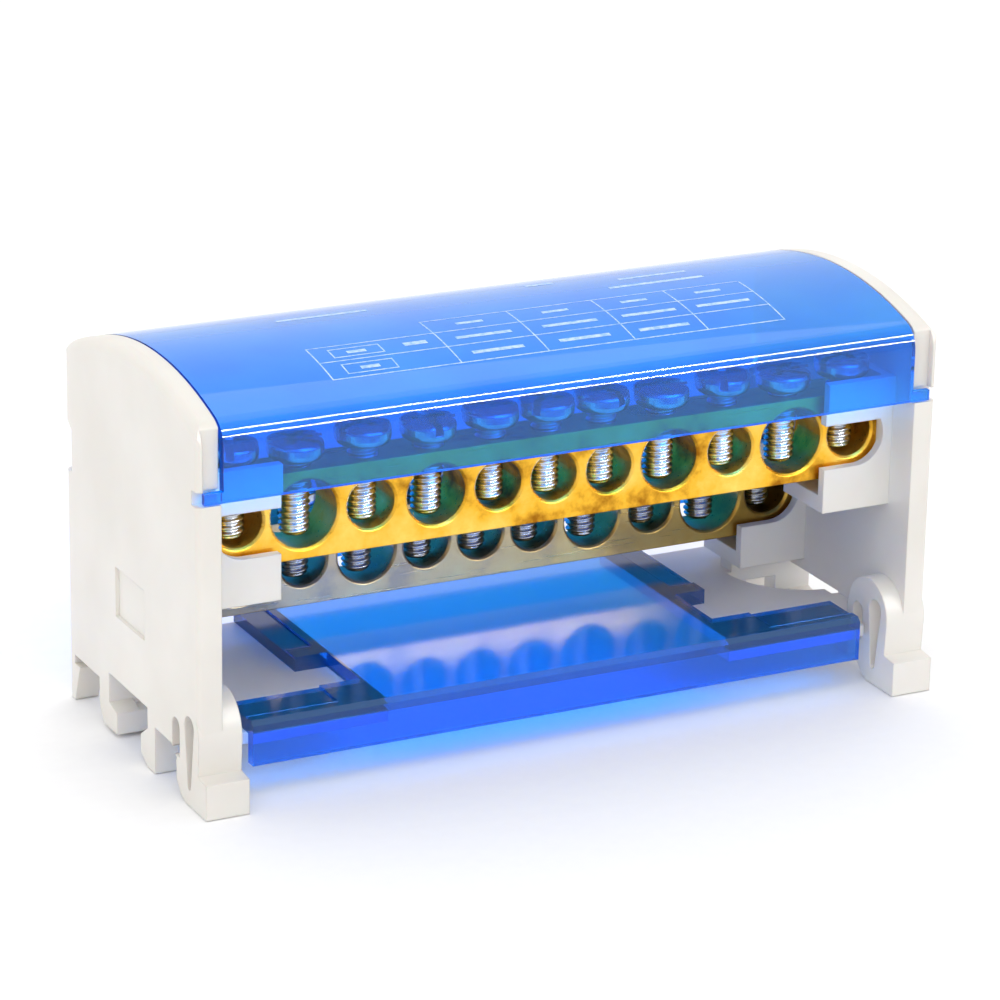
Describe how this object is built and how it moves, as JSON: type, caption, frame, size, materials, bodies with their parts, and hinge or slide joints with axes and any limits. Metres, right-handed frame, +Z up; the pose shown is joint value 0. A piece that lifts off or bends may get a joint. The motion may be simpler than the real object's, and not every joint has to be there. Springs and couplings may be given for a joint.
{
  "type": "power distribution block",
  "caption": "Rail-mounted power distribution block: stepped front and rear brass terminal bars with clamping screws between moulded end brackets, under a clear blue hood, over a clear tray.",
  "frame": {"origin": "on the plane of the feet, midway between the end brackets and midway through the depth of the end plates", "axes": "+X along the terminal bars, +Y towards the back, -Y is the wiring side, +Z up from the feet to the hood"},
  "size_m": [0.104, 0.0453, 0.0531],
  "materials": {
    "bracket_plastic": "satin ivory-grey moulding",
    "bar_brass": "bright machined",
    "screw_steel": "bright zinc plate",
    "hood_plastic": "clear blue, glossy",
    "tray_plastic": "clear deep blue, glossy"
  },
  "bodies": {
    "block": {"left_end_bracket": "bracket_plastic", "right_end_bracket": "bracket_plastic", "front_busbar": "bar_brass", "rear_busbar": "bar_brass", "base_tray": "tray_plastic"},
    "hood": {"cover": "hood_plastic"},
    "front_screw_01_body": {"front_screw_01": "screw_steel"},
    "front_screw_02_body": {"front_screw_02": "screw_steel"},
    "front_screw_03_body": {"front_screw_03": "screw_steel"},
    "front_screw_04_body": {"front_screw_04": "screw_steel"},
    "front_screw_05_body": {"front_screw_05": "screw_steel"},
    "front_screw_06_body": {"front_screw_06": "screw_steel"},
    "front_screw_07_body": {"front_screw_07": "screw_steel"},
    "front_screw_08_body": {"front_screw_08": "screw_steel"},
    "front_screw_09_body": {"front_screw_09": "screw_steel"},
    "front_screw_10_body": {"front_screw_10": "screw_steel"},
    "front_screw_11_body": {"front_screw_11": "screw_steel"},
    "rear_screw_01_body": {"rear_screw_01": "screw_steel"},
    "rear_screw_02_body": {"rear_screw_02": "screw_steel"},
    "rear_screw_03_body": {"rear_screw_03": "screw_steel"},
    "rear_screw_04_body": {"rear_screw_04": "screw_steel"},
    "rear_screw_05_body": {"rear_screw_05": "screw_steel"},
    "rear_screw_06_body": {"rear_screw_06": "screw_steel"},
    "rear_screw_07_body": {"rear_screw_07": "screw_steel"},
    "rear_screw_08_body": {"rear_screw_08": "screw_steel"},
    "rear_screw_09_body": {"rear_screw_09": "screw_steel"},
    "rear_screw_10_body": {"rear_screw_10": "screw_steel"},
    "rear_screw_11_body": {"rear_screw_11": "screw_steel"}
  },
  "joints": [
    {"name": "hood_lift_off", "type": "slide", "parent": "block", "child": "hood", "axis": [0, 0, 1], "range_m": [0, 0.045]},
    {"name": "front_screw_01_travel", "type": "slide", "parent": "block", "child": "front_screw_01_body", "axis": [0, 0, 1], "range_m": [-0.0002, 0.0054]},
    {"name": "front_screw_02_travel", "type": "slide", "parent": "block", "child": "front_screw_02_body", "axis": [0, 0, 1], "range_m": [-0.00065, 0.006]},
    {"name": "front_screw_03_travel", "type": "slide", "parent": "block", "child": "front_screw_03_body", "axis": [0, 0, 1], "range_m": [-0.0002, 0.0054]},
    {"name": "front_screw_04_travel", "type": "slide", "parent": "block", "child": "front_screw_04_body", "axis": [0, 0, 1], "range_m": [-0.0005, 0.006]},
    {"name": "front_screw_05_travel", "type": "slide", "parent": "block", "child": "front_screw_05_body", "axis": [0, 0, 1], "range_m": [-0.0002, 0.0054]},
    {"name": "front_screw_06_travel", "type": "slide", "parent": "block", "child": "front_screw_06_body", "axis": [0, 0, 1], "range_m": [-0.0002, 0.0054]},
    {"name": "front_screw_07_travel", "type": "slide", "parent": "block", "child": "front_screw_07_body", "axis": [0, 0, 1], "range_m": [-0.0002, 0.0054]},
    {"name": "front_screw_08_travel", "type": "slide", "parent": "block", "child": "front_screw_08_body", "axis": [0, 0, 1], "range_m": [-0.0005, 0.006]},
    {"name": "front_screw_09_travel", "type": "slide", "parent": "block", "child": "front_screw_09_body", "axis": [0, 0, 1], "range_m": [-0.0002, 0.0054]},
    {"name": "front_screw_10_travel", "type": "slide", "parent": "block", "child": "front_screw_10_body", "axis": [0, 0, 1], "range_m": [-0.00065, 0.006]},
    {"name": "front_screw_11_travel", "type": "slide", "parent": "block", "child": "front_screw_11_body", "axis": [0, 0, 1], "range_m": [-0.0002, 0.0054]},
    {"name": "rear_screw_01_travel", "type": "slide", "parent": "block", "child": "rear_screw_01_body", "axis": [0, 0, 1], "range_m": [-0.0002, 0.0054]},
    {"name": "rear_screw_02_travel", "type": "slide", "parent": "block", "child": "rear_screw_02_body", "axis": [0, 0, 1], "range_m": [-0.00065, 0.006]},
    {"name": "rear_screw_03_travel", "type": "slide", "parent": "block", "child": "rear_screw_03_body", "axis": [0, 0, 1], "range_m": [-0.0002, 0.0054]},
    {"name": "rear_screw_04_travel", "type": "slide", "parent": "block", "child": "rear_screw_04_body", "axis": [0, 0, 1], "range_m": [-0.0005, 0.006]},
    {"name": "rear_screw_05_travel", "type": "slide", "parent": "block", "child": "rear_screw_05_body", "axis": [0, 0, 1], "range_m": [-0.0002, 0.0054]},
    {"name": "rear_screw_06_travel", "type": "slide", "parent": "block", "child": "rear_screw_06_body", "axis": [0, 0, 1], "range_m": [-0.0002, 0.0054]},
    {"name": "rear_screw_07_travel", "type": "slide", "parent": "block", "child": "rear_screw_07_body", "axis": [0, 0, 1], "range_m": [-0.0002, 0.0054]},
    {"name": "rear_screw_08_travel", "type": "slide", "parent": "block", "child": "rear_screw_08_body", "axis": [0, 0, 1], "range_m": [-0.0005, 0.006]},
    {"name": "rear_screw_09_travel", "type": "slide", "parent": "block", "child": "rear_screw_09_body", "axis": [0, 0, 1], "range_m": [-0.0002, 0.0054]},
    {"name": "rear_screw_10_travel", "type": "slide", "parent": "block", "child": "rear_screw_10_body", "axis": [0, 0, 1], "range_m": [-0.00065, 0.006]},
    {"name": "rear_screw_11_travel", "type": "slide", "parent": "block", "child": "rear_screw_11_body", "axis": [0, 0, 1], "range_m": [-0.0002, 0.0054]}
  ]
}
